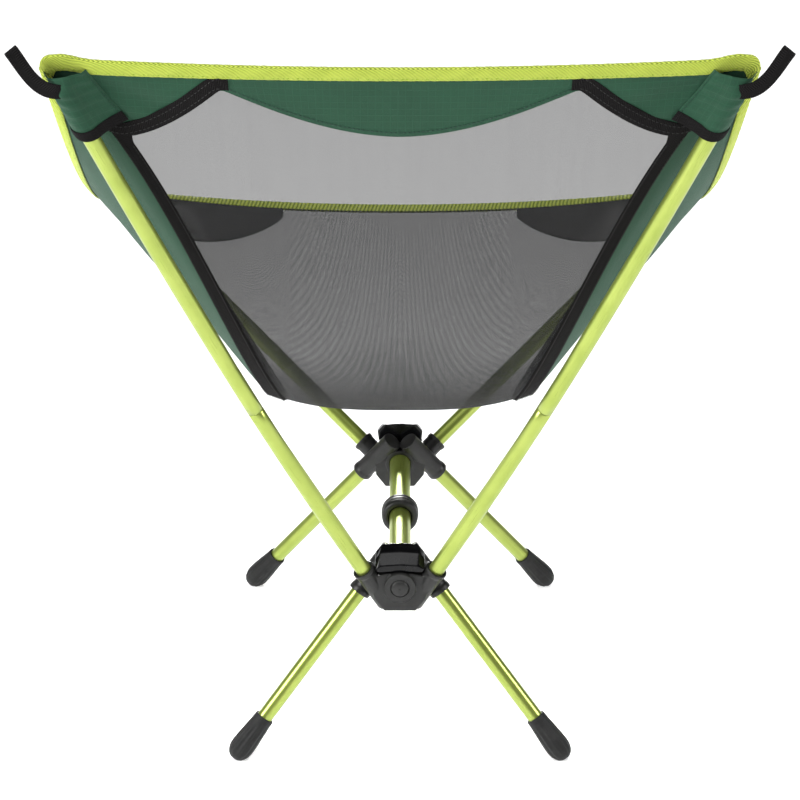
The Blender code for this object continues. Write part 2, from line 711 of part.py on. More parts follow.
arch_half = ARCH_COLUMN - SEAM_GAP
edge_columns = mirrored(columns_from(0, 1.0))
grid_piece("seat_mesh", mirrored(columns_from(0, MESH_EDGE - SEAM_GAP)), body_rows, FABRIC, MESH)
grid_piece("arch_panel", mirrored(columns_from(0, arch_half)), arch_rows, FABRIC, GREEN)
grid_piece("top_binding", edge_columns, top_binding_rows, BINDING, EDGING)
grid_piece("front_binding", edge_columns, front_binding_rows, BINDING, EDGING)
for side_name, side in SIDES:
    tape = columns_from(MESH_EDGE, TAPE_EDGE - SEAM_GAP)
    panel = columns_from(TAPE_EDGE, SIDE_EDGE - SEAM_GAP)
    corner_tape = columns_from(ARCH_COLUMN, TAPE_EDGE - SEAM_GAP)
    back_patch = columns_from(ARCH_COLUMN + BACK_PATCH_GAP, SIDE_EDGE - SEAM_GAP)
    back_patch.insert(back_patch.index(TAPE_EDGE) + 1, TAPE_EDGE + SEAM_GAP)
    front_patch = columns_from(PATCH_COLUMN + FRONT_PATCH_GAP, SIDE_EDGE - SEAM_GAP)
    grid_piece(f"seam_tape_{side_name}", tape, body_rows, WEBBING, TAPE, side)
    grid_piece(f"side_panel_{side_name}", panel, body_rows, FABRIC, GREEN, side)
    grid_piece(f"corner_tape_{side_name}", corner_tape, corner_tape_rows, WEBBING, TAPE, side)
    grid_piece(f"back_corner_patch_{side_name}", back_patch, back_patch_rows, FABRIC, GREEN, side)
    grid_piece(f"front_corner_patch_{side_name}", front_patch, front_patch_rows, FABRIC, GREEN, side)
    grid_piece(f"side_binding_{side_name}", [SIDE_EDGE, 1.0], side_binding_rows, BINDING, EDGING, side)
    back_path = [back_point(side, rise) for rise in BACK_POCKET_RISES]
    front_path = [front_point(side, rise) for rise in FRONT_POCKET_RISES]
    pocket(f"back_pocket_{side_name}", back_path, Vector((0, 1, 0)), -side * POCKET_SHIFT, GREEN)
    pocket(f"front_pocket_{side_name}", front_path, Vector((0, 0, 1)), 0.0, TAPE)
    loop = [Vector((side * x, y, z)) for x, y, z in LOOP_ROUTE]
    strap(f"pull_loop_{side_name}", loop, LOOP_WIDTH, LOOP_THICKNESS, TAPE)

for piece in bpy.data.objects:
    piece.location.y -= MIDDLE_Y
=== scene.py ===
"""The looks of an ultralight camp chair: anodised poles, moulded hubs, rubber feet and a fabric sling.

Every length is in metres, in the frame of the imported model: +Z is up, the chair's front faces -Y and its
left is +X.
"""

import json
import math

import bpy
import numpy as np
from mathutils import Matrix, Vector

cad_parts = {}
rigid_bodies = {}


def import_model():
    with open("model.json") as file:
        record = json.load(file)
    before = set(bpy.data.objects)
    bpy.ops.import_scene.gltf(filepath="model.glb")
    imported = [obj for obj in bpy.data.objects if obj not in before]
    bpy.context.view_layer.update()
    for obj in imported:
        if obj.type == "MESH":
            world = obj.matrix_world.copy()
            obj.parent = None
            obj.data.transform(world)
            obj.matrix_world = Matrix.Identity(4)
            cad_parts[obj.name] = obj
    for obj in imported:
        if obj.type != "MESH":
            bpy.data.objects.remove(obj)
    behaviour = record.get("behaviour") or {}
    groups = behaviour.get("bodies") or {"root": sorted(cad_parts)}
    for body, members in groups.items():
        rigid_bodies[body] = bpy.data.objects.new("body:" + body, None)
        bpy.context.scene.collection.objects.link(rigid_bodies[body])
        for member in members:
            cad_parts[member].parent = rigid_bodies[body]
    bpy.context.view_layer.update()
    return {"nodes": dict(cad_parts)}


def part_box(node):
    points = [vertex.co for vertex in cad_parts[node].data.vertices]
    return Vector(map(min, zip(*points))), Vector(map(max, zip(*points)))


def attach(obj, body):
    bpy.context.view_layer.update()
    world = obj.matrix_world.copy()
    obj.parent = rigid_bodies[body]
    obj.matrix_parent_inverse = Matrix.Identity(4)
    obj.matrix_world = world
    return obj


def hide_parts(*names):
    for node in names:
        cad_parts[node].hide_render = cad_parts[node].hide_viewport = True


for old in list(bpy.data.objects):
    bpy.data.objects.remove(old, do_unlink=True)
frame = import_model()

COLLAR_LOW, COLLAR_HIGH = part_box("ridge_collar")
RIDGE = (COLLAR_LOW + COLLAR_HIGH) / 2
SIDES = (("left", 1), ("right", -1))
ENDS = (("rear", 1), ("front", -1))

# Frame: the same driving sizes as the CAD model, measured from the middle of the ridge
HUB_Y = 0.118
LAYER = 0.0078
SOCKET_RADIUS = 0.0087
POLE_RADIUS = 0.0065
POLE_BORE = 0.0056
SEAT_RISE = {1: -0.0176, -1: -0.0095}
LEG_X = 0.0226
LEG_SLOPE = (0.7775, 0.3137)
LEG_SEAT = 0.0166
LEG_END = 0.0125
BACK_X = 0.0227
BACK_SLOPE = (0.5479, 0.2891)
BACK_RISE = 0.474
BACK_BOW = 0.0391
BACK_JOINT = 0.180
FRONT_X = 0.0237
FRONT_SLOPE = (1.1787, 0.6273)
FRONT_RISE = 0.189
POLE_END = 0.0040
RIDGE_RADIUS = 0.0091
RIDGE_BORE = 0.0080
# The grid on which the hub mouldings are rounded
MOULDING_VOXEL = 0.00045

# Sling: the profile down its middle and its side edge, as Bezier control points
PROFILE = ((0.0, 0.252, 0.638), (0.0, 0.168, 0.300), (0.0, 0.050, 0.150), (0.0, -0.243, 0.343))
SIDE = ((0.2625, 0.2575, 0.648), (0.2380, 0.236, 0.545), (0.2550, 0.050, 0.466), (0.2710, -0.250, 0.356))
# Places on the sling: shares of its half-width (s), or of its length from the top to the front edge (v)
ARCH_END = 0.49
TOP_EDGE = 0.0118
FRONT_EDGE = 0.9905
SIDE_EDGE = 0.957
SIDE_COVER = 0.972
SIDE_REACH = 0.978
CORNER_SHARE = 0.046
FRONT_PATCH_START = 0.392
WAIST = 0.60
TAPE_HALF = 0.029
UNDERLAP = 0.006
# How far the top and front bindings reach over the panels, and the radius of the sling's corners
TOP_COVER = 0.0098
FRONT_COVER = 0.0068
CORNER = 0.0115
# Metres in one unit of s and in one unit of v, near the top corners
UNIT_S, UNIT_V = 0.252, 1.04
# A sheet is cut to this share of its stretched size, and declared with at least this width and share of area
CUT_SHARE = 0.985
NARROWEST = 0.0101
LEAST_AREA_SHARE = 0.31
# Pitches of the weaves
RIPSTOP_PITCH = 0.0055
MESH_PITCH = (0.0010, 0.0009)
HERRINGBONE_PITCH, HERRINGBONE_HALF = 0.0017, 0.0036
GROSGRAIN_PITCH = 0.0024


# ---- materials ----


class Graph:
    """A material's node tree, with short ways to add and join nodes."""

    def __init__(self, name, colour, roughness, metallic=0.0):
        self.material = bpy.data.materials.new(name)
        self.material.use_nodes = True
        self.tree = self.material.node_tree
        self.shader = self.tree.nodes["Principled BSDF"]
        self.heights = []
        self.set("Base Color", (*colour, 1))
        self.set("Roughness", roughness)
        self.set("Metallic", metallic)

    def give(self, socket, value):
        """Links another node's output to the socket, or sets the socket to a plain value."""
        if hasattr(value, "is_linked"):
            self.tree.links.new(value, socket)
        else:
            socket.default_value = value

    def set(self, name, value):
        self.give(self.shader.inputs[name], value)

    def add(self, kind, settings=(), **inputs):
        """Adds a node. An input goes by its name, or as i0, i1 and so on by its number."""
        node = self.tree.nodes.new(kind)
        for key, value in dict(settings).items():
            setattr(node, key, value)
        for key, value in inputs.items():
            numbered = key[0] == "i" and key[1:].isdigit()
            self.give(node.inputs[int(key[1:]) if numbered else key], value)
        return node

    def place(self, uv=False):
        """Coordinates in metres: along the cloth for a sheet, or in space for anything else."""
        return self.add("ShaderNodeTexCoord").outputs["UV" if uv else "Object"]

    def noise(self, where, scale, detail=3.0, rough=0.5):
        inputs = {"Vector": where, "Scale": scale, "Detail": detail, "Roughness": rough}
        return self.add("ShaderNodeTexNoise", **inputs).outputs[0]

    def stretch(self, where, scale):
        return self.add("ShaderNodeMapping", Vector=where, Scale=scale).outputs[0]

    def math(self, operation, first, second=0.0, third=0.0):
        node = self.add("ShaderNodeMath", {"operation": operation}, i0=first, i1=second, i2=third)
        return node.outputs[0]

    def blend(self, first, second, share):
        """The sum of two values, of which the first counts for share of it."""
        return self.math("ADD", self.math("MULTIPLY", first, share), self.math("MULTIPLY", second, 1 - share))

    def remap(self, value, low, high, to_low=0.0, to_high=1.0):
        inputs = {"i0": value, "i1": low, "i2": high, "i3": to_low, "i4": to_high}
        return self.add("ShaderNodeMapRange", **inputs).outputs[0]

    def mix(self, share, first, second):
        node = self.add("ShaderNodeMix", {"data_type": "RGBA"}, i0=share)
        for socket, value in ((node.inputs[6], first), (node.inputs[7], second)):
            self.give(socket, value if hasattr(value, "is_linked") else (*value, 1))
        return node.outputs[2]

    def bump(self, height, depth, strength=1.0):
        """Adds a bump whose height is in shares of depth. Each bump goes on top of those before it."""
        node = self.add("ShaderNodeBump", Height=height, Distance=depth, Strength=strength)
        if self.heights:
            self.tree.links.new(self.heights[-1], node.inputs["Normal"])
        self.heights.append(node.outputs[0])
        self.set("Normal", node.outputs[0])

    def split(self, where):
        """How far across and how far along the cloth a place is."""
        return self.add("ShaderNodeSeparateXYZ", Vector=where).outputs[:2]

    def sine(self, value, pitch):
        return self.math("SINE", self.math("MULTIPLY", value, 2 * math.pi / pitch))

    def wave(self, value, pitch):
        """A wave from 0 to 1 that repeats every pitch metres."""
        return self.math("MULTIPLY_ADD", self.sine(value, pitch), 0.5, 0.5)


def anodised_lime():
    """Satin anodised tube: lime metal with fine drawing lines along it and a slight unevenness."""
    g = Graph("anodised_lime", (0.46, 0.56, 0.120), 0.30, 0.72)
    where = g.place()
    patch = g.noise(where, 35.0)
    grain = g.noise(g.stretch(g.place(uv=True), (2600.0, 16.0, 1.0)), 1.0, 2.0)
    g.set("Base Color", g.mix(g.remap(patch, 0.3, 0.7), (0.33, 0.415, 0.078), (0.40, 0.485, 0.104)))
    g.set("Roughness", g.math("MULTIPLY_ADD", grain, 0.14, 0.23))
    g.bump(grain, 0.00003, 0.5)
    g.set("Coat Weight", 0.15)
    g.set("Coat Roughness", 0.25)
    return g.material


def moulded(name, colour, roughness, texture, shine):
    """Moulded nylon or rubber with a fine spark-eroded texture and scuffs."""
    g = Graph(name, colour, roughness)
    where = g.place()
    fine = g.noise(where, 1700.0, 3.0, 0.6)
    broad = g.noise(where, 90.0, 4.0, 0.6)
    lighter = tuple(channel * 1.7 + 0.006 for channel in colour)
    g.set("Base Color", g.mix(g.remap(broad, 0.45, 0.8), colour, lighter))
    g.set("Roughness", g.remap(broad, 0.3, 0.7, roughness - 0.06, roughness + 0.10))
    g.bump(fine, texture)
    g.set("Specular IOR Level", shine)
    return g.material


def woven(name, colour, shade, pitch, depth, ripstop=False):
    """Plain-weave polyester: warp and weft bumps, uneven dye, and a ripstop grid where it has one."""
    g = Graph(name, colour, 0.78)
    uv = g.place(uv=True)
    across, along = g.split(uv)
    weave = g.blend(g.wave(across, pitch), g.wave(along, pitch), 0.5)
    cloud = g.noise(uv, 22.0, 5.0, 0.6)
    fibre = g.noise(uv, 900.0, 2.0)
    tone = g.blend(cloud, fibre, 0.7)
    cloth = g.mix(g.remap(tone, 0.32, 0.68), shade, colour)
    if ripstop:
        lines = g.math("MAXIMUM", g.wave(across, RIPSTOP_PITCH), g.wave(along, RIPSTOP_PITCH))
        cord = g.remap(lines, 0.93, 1.0)
        paler = tuple(channel * 1.5 for channel in colour)
        cloth = g.mix(g.math("MULTIPLY", cord, 0.22), cloth, paler)
        g.bump(cord, 0.00012, 0.6)
    g.set("Base Color", cloth)
    g.bump(weave, depth)
    g.bump(cloud, 0.0012, 0.35)
    g.set("Sheen Weight", 0.10)
    g.set("Sheen Roughness", 0.5)
    g.set("Specular IOR Level", 0.3)
    return g.material


def open_mesh():
    """Open knitted mesh: dark yarn round small holes that let the light through, with painted darkening
    across the low part of the sling.
    """
    g = Graph("open_mesh", (0.014, 0.014, 0.015), 0.8)
    uv = g.place(uv=True)
    across, along = g.split(uv)
    cell = g.math("MULTIPLY", g.sine(across, MESH_PITCH[0]), g.sine(along, MESH_PITCH[1]))
    streak = g.noise(g.stretch(uv, (160.0, 6.0, 1.0)), 1.0, 2.0)
    hole = g.math("ABSOLUTE", cell)
    cover = g.remap(hole, 0.0, 0.9, 0.88, 0.46)
    cover = g.math("ADD", cover, g.math("MULTIPLY_ADD", streak, 0.03, -0.015))
    # Painted darkening: a band across the low part of the sling is made more opaque, standing in for how the
    # mesh darkens where it is seen at a grazing angle.
    grazing_darkening = g.math("MULTIPLY", g.remap(along, 0.28, 0.38), g.remap(along, 0.44, 0.54, 1.0, 0.0))
    g.set("Alpha", g.math("MULTIPLY_ADD", grazing_darkening, 0.20, cover))
    g.set("Base Color", g.mix(streak, (0.010, 0.010, 0.011), (0.026, 0.026, 0.027)))
    g.bump(hole, 0.0003, 0.5)
    g.set("Specular IOR Level", 0.15)
    return g.material


def webbing():
    """Black herringbone tape: slanting ribs that turn at the middle of its width."""
    g = Graph("herringbone_webbing", (0.018, 0.017, 0.017), 0.82)
    uv = g.place(uv=True)
    across, along = g.split(uv)
    slant = g.math("ADD", g.math("PINGPONG", across, HERRINGBONE_HALF), along)
    rib = g.wave(slant, HERRINGBONE_PITCH)
    fibre = g.noise(uv, 1400.0, 2.0)
    tone = g.blend(rib, fibre, 0.6)
    g.set("Base Color", g.mix(g.remap(tone, 0.2, 0.85), (0.003, 0.003, 0.003), (0.017, 0.0155, 0.016)))
    g.bump(rib, 0.00035, 0.8)
    g.bump(fibre, 0.0001, 0.5)
    g.set("Specular IOR Level", 0.08)
    return g.material


def grosgrain():
    """Lime binding: close slanting ribs across the tape."""
    g = Graph("lime_grosgrain", (0.50, 0.62, 0.060), 0.75)
    uv = g.place(uv=True)
    across, along = g.split(uv)
    rib = g.wave(g.math("ADD", g.math("MULTIPLY", along, 0.7), across), GROSGRAIN_PITCH)
    cloud = g.noise(uv, 60.0, 3.0)
    tone = g.blend(rib, cloud, 0.65)
    g.set("Base Color", g.mix(g.remap(tone, 0.15, 0.75), (0.17, 0.25, 0.008), (0.60, 0.70, 0.090)))
    g.bump(rib, 0.0003, 0.7)
    g.bump(cloud, 0.0008, 0.3)
    g.set("Sheen Weight", 0.2)
    g.set("Specular IOR Level", 0.3)
    return g.material


def thread(name, colour):
    """Twisted thread or braid, with painted shade between its strands."""
    g = Graph(name, colour, 0.7)
    twist = g.noise(g.place(), 2500.0, 1.0)
    # Painted shade: the colour darkens where the twist's bump is low, in the hollows between strands.
    strand_shade = tuple(channel * 0.6 for channel in colour)
    g.set("Base Color", g.mix(twist, strand_shade, colour))
    g.bump(twist, 0.0001)
    return g.material


LIME = anodised_lime()
NYLON = moulded("moulded_nylon", (0.012, 0.012, 0.0115), 0.38, 0.00006, 0.38)
GLOSS = moulded("polished_nylon", (0.004, 0.004, 0.0045), 0.16, 0.00001, 0.25)
RUBBER = moulded("ribbed_rubber", (0.013, 0.013, 0.013), 0.58, 0.00008, 0.28)
GREEN = woven(
    "green_polyester", (0.0118, 0.070, 0.034), (0.0088, 0.053, 0.026), 0.0007, 0.00018, ripstop=True)
DARK = woven("black_polyester", (0.022, 0.022, 0.021), (0.012, 0.012, 0.012), 0.0008, 0.00020)
MESH = open_mesh()
TAPE = webbing()
EDGING = grosgrain()
ELASTIC = thread("elastic_braid", (0.05, 0.05, 0.05))
DARK_THREAD = thread("black_thread", (0.020, 0.020, 0.020))
GREEN_THREAD = thread("dark_green_thread", (0.010, 0.050, 0.034))
LIME_THREAD = thread("lime_thread", (0.36, 0.55, 0.02))
PALE_THREAD = thread("pale_thread", (0.42, 0.45, 0.42))


# ---- mesh helpers ----


def finish_mesh(name, points, faces, uvs, look, body):
    """Makes an object from numpy points, faces and one uv for each point, and rides it on a body."""
    mesh = bpy.data.meshes.new(name)
    mesh.from_pydata(np.asarray(points).tolist(), [], faces)
    layer = mesh.uv_layers.new(name="UVMap")
    corners = np.zeros(len(mesh.loops), np.int32)
    mesh.loops.foreach_get("vertex_index", corners)
    layer.data.foreach_set("uv", np.asarray(uvs, np.float32)[corners].ravel())
    mesh.materials.append(look)
    mesh.shade_smooth()
    mesh.set_sharp_from_angle(angle=math.radians(50))
    piece = bpy.data.objects.new(name, mesh)
    bpy.context.scene.collection.objects.link(piece)
    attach(piece, body)
    return piece


def grid_faces(tall, wide, start=0, close_rows=False, close_columns=False, flip=False):
    """Quads of a grid stored row by row; a closed direction joins its last line to its first."""
    faces = []
    for i in range(tall if close_rows else tall - 1):
        for j in range(wide if close_columns else wide - 1):
            i2 = (i + 1) % tall
            j2 = (j + 1) % wide
            quad = (i * wide + j, i * wide + j2, i2 * wide + j2, i2 * wide + j)
            quad = quad[::-1] if flip else quad
            faces.append([start + index for index in quad])
    return faces


def unit(vectors):
    return vectors / np.maximum(np.linalg.norm(vectors, axis=-1, keepdims=True), 1e-12)


def lengths(points, axis=0):
    """Distance covered from the first point of a path, or of each line of a grid, to each of its points."""
    gaps = np.linalg.norm(np.diff(points, axis=axis), axis=-1)
    return np.insert(np.cumsum(gaps, axis=axis), 0, 0.0, axis=axis)


def sample(values, places, where):
    """The values that belong to places along a line, read off at other places on it."""
    return np.stack([np.interp(where, places, values[:, k]) for k in range(3)], -1)


def turned(name, path, rings, look, body, sides=40, shape=None):
    """A closed turned solid. rings are (place on the path, radius), and the last one joins the first.

    shape may change each ring: it gets the points, their angles, the ring's number and its centre.
    """
    path = np.asarray(path, float)
    angles = np.arange(sides) * 2 * math.pi / sides
    places = lengths(path)
    step = 0.002
    wrap_width = 0.04
    points = []
    uvs = []
    run = 0.0
    before = None
    for number, (place, radius) in enumerate(rings):
        centre = sample(path, places, place)
        tangent = unit(sample(path, places, place + step) - sample(path, places, place - step))
        side = unit(np.array([1.0, 0, 0]) - tangent * tangent[0])
        up = np.cross(tangent, side)
        ring = centre + radius * (np.cos(angles)[:, None] * side + np.sin(angles)[:, None] * up)
        if shape:
            ring = shape(ring, angles, number, centre)
        if before is not None:
            run += math.hypot(place - before[0], radius - before[1])
        before = (place, radius)
        points.append(ring)
        uvs.append(np.stack([angles / (2 * math.pi) * wrap_width, np.full(sides, run)], -1))
    faces = grid_faces(len(rings), sides, close_rows=True, close_columns=True)
    return finish_mesh(name, np.concatenate(points), faces, np.concatenate(uvs), look, body)


def tube(name, path, outer, inner, body):
    """A hollow anodised tube along a path, with its outer edges slightly broken."""
    total = lengths(np.asarray(path, float))[-1]
    edge = 0.0003
    ring_gap = 0.012
    stations = np.linspace(edge, total - edge, max(3, int(total / ring_gap)))
    rings = [(0.0, outer - edge), *((place, outer) for place in stations), (total, outer - edge)]
    rings += [(total, inner), (0.0, inner)]
    return turned(name, path, rings, LIME, body)


def soften(name, node, voxel, rounds, look, body, swell=(1, 1, 1)):
    """The moulding with every edge and joint rounded, from a fine remesh of the CAD solid.

    swell scales it about its middle, to make up for what the rounding takes off.
    """
    helper = bpy.data.objects.new(name + "_helper", frame["nodes"][node].data.copy())
    bpy.context.scene.collection.objects.link(helper)
    remesh = helper.modifiers.new("remesh", "REMESH")
    remesh.mode = "VOXEL"
    remesh.voxel_size = voxel
    smooth = helper.modifiers.new("smooth", "SMOOTH")
    smooth.factor = 0.5
    smooth.iterations = rounds
    graph = bpy.context.evaluated_depsgraph_get()
    mesh = bpy.data.meshes.new_from_object(helper.evaluated_get(graph))
    bpy.data.objects.remove(helper, do_unlink=True)
    places = np.zeros(len(mesh.vertices) * 3, np.float32)
    mesh.vertices.foreach_get("co", places)
    places = places.reshape(-1, 3)
    middle = (places.min(0) + places.max(0)) / 2
    mesh.vertices.foreach_set("co", ((places - middle) * np.array(swell, np.float32) + middle).ravel())
    mesh.materials.clear()
    mesh.materials.append(look)
    mesh.shade_smooth()
    piece = bpy.data.objects.new(name, mesh)
    bpy.context.scene.collection.objects.link(piece)
    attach(piece, body)
    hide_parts(node)
    return piece


# ---- frame ----


def at_ridge(x, y, z):
    """A place given from the middle of the ridge tube."""
    return np.array([x, y + RIDGE.y, z + RIDGE.z])


def leg_point(end, side, fall):
    return at_ridge(side * (LEG_X + LEG_SLOPE[0] * fall), end * (HUB_Y - LAYER + LEG_SLOPE[1] * fall), -fall)


def back_point(side, rise):
    share = max(0, rise) / BACK_RISE
    bow = BACK_BOW * (3 * share**2 - share**3) / 2
    return at_ridge(side * (BACK_X + BACK_SLOPE[0] * rise - bow), HUB_Y + LAYER + BACK_SLOPE[1] * rise, rise)


def front_point(side, rise):
    return at_ridge(side * (FRONT_X + FRONT_SLOPE[0] * rise), -(HUB_Y + LAYER + FRONT_SLOPE[1] * rise), rise)


def along_ridge(end, distances):
    return [at_ridge(0, end * distance, 0) for distance in distances]


def ribbed(ring, angles, number, centre):
    """Lengthwise grooves in the lower part of a foot, and a flat where it stands on the floor."""
    grooves = 12
    depth = np.interp(number, (2, 3, 8, 10), (0.0, 0.055, 0.055, 0.0))
    wave = np.clip(np.cos(angles * grooves) * 1.6, -1, 1) * 0.5 - 0.5
    ring = centre + (ring - centre) * (1 + depth * wave)[:, None]
    ring[:, 2] = np.maximum(ring[:, 2], 0.0)
    return ring


def foot(name, end, side, body):
    """A rubber boot: a narrow cuff with a lip, a wider grooved toe, a round tip and the leg's seat inside."""
    profile = ((0.0345, 0.0079), (0.0338, 0.0083), (0.0300, 0.0084), (0.0270, 0.0088), (0.0220, 0.0093),
               (0.0165, 0.0099), (0.0115, 0.0102), (0.0090, 0.0101), (0.0065, 0.0095), (0.0042, 0.0082),
               (0.0025, 0.0066), (0.0012, 0.0040))
    floor_of_seat = 6
    seat_radius, tip_radius = 0.0068, 0.0004
    start = 0.1
    path = [leg_point(end, side, fall) for fall in np.linspace(start, RIDGE.z + 0.004, 8)]
    slant = math.sqrt(1 + LEG_SLOPE[0] ** 2 + LEG_SLOPE[1] ** 2)
    rings = [((RIDGE.z - height - start) * slant, radius) for height, radius in profile]
    bottom = rings[floor_of_seat][0]
    rings += [(rings[-1][0] + 0.0003, tip_radius), (bottom, tip_radius), (bottom, seat_radius),
              (rings[0][0], seat_radius)]
    piece = turned(name, path, rings, RUBBER, body, 96, ribbed)
    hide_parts(name.replace("boot", "foot"))


def frame_pieces():
    for end_name, end in ENDS:
        body = f"{end_name}_frame"
        soften(f"{end_name}_hub_moulding", f"{end_name}_hub", MOULDING_VOXEL, 7, NYLON, body)
        soften(f"{end_name}_crown_moulding", f"{end_name}_hub_crown", MOULDING_VOXEL, 26, GLOSS, body,
               (1.26, 1.04, 1.12))
        pin_path = along_ridge(end, (HUB_Y, HUB_Y + 0.030))
        face = LAYER + SOCKET_RADIUS
        rings = [(0.0020, 0.0004), (0.0020, 0.0030), *((face + out, radius) for out, radius in (
            (0.0003, 0.0030), (0.0003, 0.0128), (0.0008, 0.0134), (0.0024, 0.0134), (0.0033, 0.0127),
            (0.0034, 0.0080), (0.0029, 0.0076), (0.0034, 0.0071), (0.0043, 0.0068), (0.0048, 0.0062),
            (0.0047, 0.0004)))]
        pin = turned(f"{end_name}_flanged_pin", pin_path, rings, NYLON, body, 64)
        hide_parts(f"{end_name}_hub_pin")
        ridge_path = along_ridge(end, (0.00015, HUB_Y - 0.0005))
        half = tube(f"ridge_half_{end_name}", ridge_path, RIDGE_RADIUS, RIDGE_BORE, body)
        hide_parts(f"ridge_tube_{end_name}")
        for side_name, side in SIDES:
            name = f"{end_name}_{side_name}"
            body = f"leg_assembly_{name}"
            path = [leg_point(end, side, -LEG_SEAT), leg_point(end, side, RIDGE.z - LEG_END)]
            leg = tube(f"leg_tube_{name}", path, POLE_RADIUS, POLE_BORE, body)
            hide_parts(f"leg_{name}")
            foot(f"boot_{name}", end, side, body)
    profile = ((0.0000, 0.0135), (0.0006, 0.0148), (0.0016, 0.0154), (0.0058, 0.0158), (0.0063, 0.0150),
               (0.0066, 0.0143), (0.0074, 0.0143), (0.0077, 0.0152), (0.0083, 0.0160), (0.0100, 0.0160),
               (0.0105, 0.0152), (0.0108, 0.0145), (0.0114, 0.0145), (0.0118, 0.0154), (0.0124, 0.0159),
               (0.0146, 0.0157), (0.0155, 0.0150), (0.0160, 0.0138), (0.0158, 0.0110), (0.0140, 0.0094),
               (0.0020, 0.0094), (0.0002, 0.0112))
    collar_path = along_ridge(-1, (-0.008, 0.008))
    collar = turned("grooved_collar", collar_path, profile, NYLON, "rear_frame", 96)
    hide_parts("ridge_collar")
    for side_name, side in SIDES:
        lower = [back_point(side, rise) for rise in (SEAT_RISE[1], *np.linspace(0, BACK_JOINT, 30))]
        upper_rises = np.linspace(BACK_JOINT + 0.0003, BACK_RISE - POLE_END, 50)
        upper = [back_point(side, rise) for rise in upper_rises]
        front = [front_point(side, SEAT_RISE[-1]), front_point(side, FRONT_RISE - POLE_END)]
        for name, path, body, node in (
            ("lower_pole", lower, "back_pole_base", "back_pole_lower"),
            ("upper_pole", upper, "back_pole_tip", "back_pole_upper"),
            ("short_pole", front, "front_pole_assembly", "front_pole"),
        ):
            pole = tube(f"{name}_{side_name}", path, POLE_RADIUS, POLE_BORE, f"{body}_{side_name}")
            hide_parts(f"{node}_{side_name}")
    repaint("ridge_ferrule", LIME)
    for side_name, side in SIDES:
        repaint(f"back_pole_ferrule_{side_name}", LIME)
        repaint(f"back_pole_plug_{side_name}", NYLON)
        repaint(f"front_pole_plug_{side_name}", NYLON)
        for node in ("back_pole_cord", "front_pole_cord", "leg_cord_rear", "leg_cord_front"):
            repaint(f"{node}_{side_name}", ELASTIC)


def repaint(node, look):
    """Gives a CAD node, which keeps its shape, its finished material."""
    data = frame["nodes"][node].data
    data.materials.clear()
    data.materials.append(look)


# ---- sling surface ----


def bezier(points, t):
    """Places on a cubic Bezier curve."""
    t = np.asarray(t, float)[..., None]
    p = np.array(points)
    return (1 - t) ** 3 * p[0] + 3 * (1 - t) ** 2 * t * p[1] + 3 * (1 - t) * t**2 * p[2] + t**3 * p[3]


def share_risen(across, v, power):
    """A curve over the seat and back, then a taut straight panel from the seam tape to the side edge."""
    start = seam_at(v) + TAPE_HALF
    straight = start**power + (1 - start**power) * (across - start) / (1 - start)
    return np.where(across <= start, across**power, straight)


def surface(s, v):
    """A point of the sling: s is a signed share of the half-width, v goes from the top to the front edge."""
    s, v = np.broadcast_arrays(np.asarray(s, float), np.asarray(v, float))
    middle = bezier(PROFILE, v)
    edge = bezier(SIDE, v)
    across = np.abs(s)
    forward = share_risen(across, v, 2.2)
    lift = share_risen(across, v, 2.0 + np.sin(math.pi * np.clip(v, 0, 1)))
    corner_roll = 0.0030 * np.exp(-(((across - 0.93) / 0.05) ** 2) - (v / 0.03) ** 2)
    y = middle[..., 1] + (edge[..., 1] - middle[..., 1]) * forward + RIDGE.y
    z = middle[..., 2] + (edge[..., 2] - middle[..., 2]) * lift + corner_roll
    return np.stack([s * edge[..., 0], y, z], -1)


def outward(s, v):
    """The unit normal on the side that faces backwards and down."""
    step = 0.004
    along = surface(s, v + step) - surface(s, v - step)
    over = surface(s + step, v) - surface(s - step, v)
    return unit(np.cross(over, along))


def seam_at(v):
    """Where the long seam crosses, as a share of the half-width."""
    narrowest = 0.40
    back = narrowest + 0.40 * np.clip((WAIST - v) / 0.485, 0, 1) ** 1.9
    front = narrowest + 0.36 * np.clip((v - WAIST) / 0.30, 0, 1) ** 1.9
    return np.where(v < WAIST, back, front)


def top_seam(s):
    """The arch panel's lower edge, then the curved corner tape's lower edge."""
    s = np.abs(s)
    arch = 0.058 - 0.034 * (np.minimum(s, ARCH_END) / ARCH_END) ** 1.8
    curve = 0.024 + 0.30 * np.maximum(0, s - 0.515)
    beyond = 0.1095 + 0.12 * (s - 0.80)
    return np.where(s < ARCH_END, arch, np.where(s < 0.80, curve, beyond))


def front_seam(s):
    """The front binding in the middle, then the front corner patch's curved edge."""
    return FRONT_EDGE - 0.088 * (np.clip(np.abs(s) - 0.378, 0, 0.382) / 0.382) ** 0.75


def folds(s, v):
    """How far the side panels stand off the tight surface: long soft folds that run from corner to corner."""
    inner = seam_at(v) + TAPE_HALF
    share = np.clip((np.abs(s) - inner) / np.maximum(SIDE_EDGE - inner, 0.01), 0, 1)
    window = np.clip((v - 0.13) / 0.12, 0, 1) * np.clip((0.93 - v) / 0.12, 0, 1)
    wave = np.sin(9.0 * share + 26.0 * v + 1.3) * 0.45 + np.sin(4.0 * share - 17.0 * v) * 0.55
    return 0.0016 * wave * np.sin(math.pi * share) * window * (np.abs(s) > inner)


def spread(between_s, between_v, wide, tall):
    """A grid of (s, v) filling a patch whose borders depend on each other, found in a few rounds."""
    a = np.linspace(0, 1, wide)[None, :]
    b = np.linspace(0, 1, tall)[:, None]
    v = np.repeat(b, wide, 1)
    for _ in range(6):
        low, high = between_s(v)
        s = low + (high - low) * a
        low, high = between_v(s)
        v = low + (high - low) * b
    s, v = np.broadcast_arrays(s, v)
    return s.copy(), v.copy()


def cloth_uvs(points):
    """Coordinates in metres on the cloth: across from each row's middle, and along from the first row."""
    across = lengths(points, 1)
    across -= across[:, across.shape[1] // 2][:, None]
    return np.stack([across, lengths(points)], -1)


